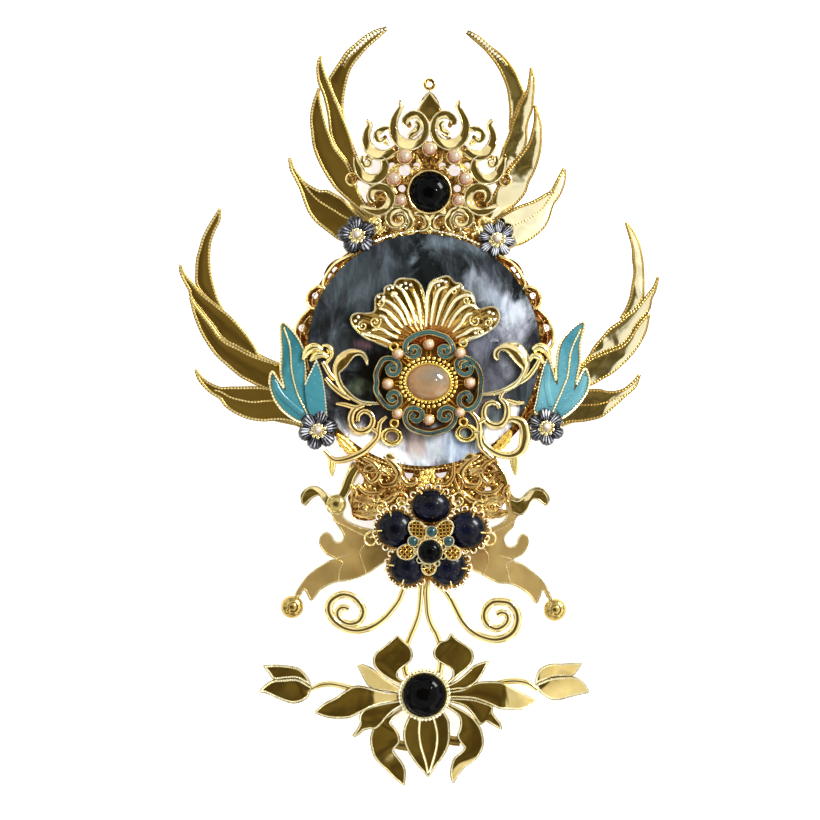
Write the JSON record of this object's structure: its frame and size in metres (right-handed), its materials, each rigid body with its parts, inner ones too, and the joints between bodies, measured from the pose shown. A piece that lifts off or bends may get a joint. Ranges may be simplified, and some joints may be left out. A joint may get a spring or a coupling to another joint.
{
  "type": "hair crown with comb",
  "caption": "Flat hair crown of gilt wings, pierced scrollwork, shell disc, flower and lotus, held in the hair by a comb on its back.",
  "frame": {"origin": "middle of the part's bounding box, in the plane of the comb's back, on which the part lies", "axes": "+X to the right as the face is seen, +Y towards the tips of the top wings, +Z out of the face"},
  "size_m": [0.1201, 0.1892, 0.0126],
  "materials": {
    "gilt_metal": "gold-plated brass, polished, with raised bright edges",
    "dark_shell": "polished dark mother-of-pearl",
    "grey_shell": "carved grey mother-of-pearl",
    "black_stone": "polished black agate",
    "goldstone": "dark blue glass with fine sparkles",
    "peach_stone": "translucent peach cabochon",
    "teal_glass": "small polished teal cabochon",
    "teal_enamel": "glossy teal enamel",
    "pearl": "white to pink pearl lustre"
  },
  "bodies": {
    "root": {"hair_comb": "gilt_metal", "back_plate": "gilt_metal", "pearl_disc": "dark_shell", "top_wing_left": "gilt_metal", "top_wing_right": "gilt_metal", "side_wing_left": "gilt_metal", "side_wing_right": "gilt_metal", "crown": "gilt_metal", "crown_stone": "black_stone", "crown_pearls": "pearl", "palmette": "gilt_metal", "medallion": "gilt_metal", "cloud_enamel": "teal_enamel", "oval_stone": "peach_stone", "medallion_pearls": "pearl", "scroll_branch_left": "gilt_metal", "scroll_branch_right": "gilt_metal", "enamel_leaf_left": "gilt_metal", "enamel_leaf_right": "gilt_metal", "leaf_enamel_left": "teal_enamel", "leaf_enamel_right": "teal_enamel", "lower_filigree": "gilt_metal", "flower_setting": "gilt_metal", "mesh_flower": "gilt_metal", "flower_centre_stone": "black_stone", "goldstone_top": "goldstone", "goldstone_upper_left": "goldstone", "goldstone_upper_right": "goldstone", "goldstone_lower_left": "goldstone", "goldstone_lower_right": "goldstone", "teal_stone_top": "teal_glass", "teal_stone_left": "teal_glass", "teal_stone_right": "teal_glass", "leaf_spray_left": "gilt_metal", "leaf_spray_right": "gilt_metal", "spiral_wire_left": "gilt_metal", "spiral_wire_right": "gilt_metal", "stem_left": "gilt_metal", "stem_right": "gilt_metal", "lotus": "gilt_metal", "lotus_stone": "black_stone", "bud_left": "gilt_metal", "bud_right": "gilt_metal", "flower_pin_upper_left": "gilt_metal", "flower_pin_upper_right": "gilt_metal", "flower_pin_lower_left": "gilt_metal", "flower_pin_lower_right": "gilt_metal", "shell_flower_upper_left": "grey_shell", "shell_flower_upper_right": "grey_shell", "shell_flower_lower_left": "grey_shell", "shell_flower_lower_right": "grey_shell", "flower_pearl_upper_left": "pearl", "flower_pearl_upper_right": "pearl", "flower_pearl_lower_left": "pearl", "flower_pearl_lower_right": "pearl"}
  },
  "joints": []
}
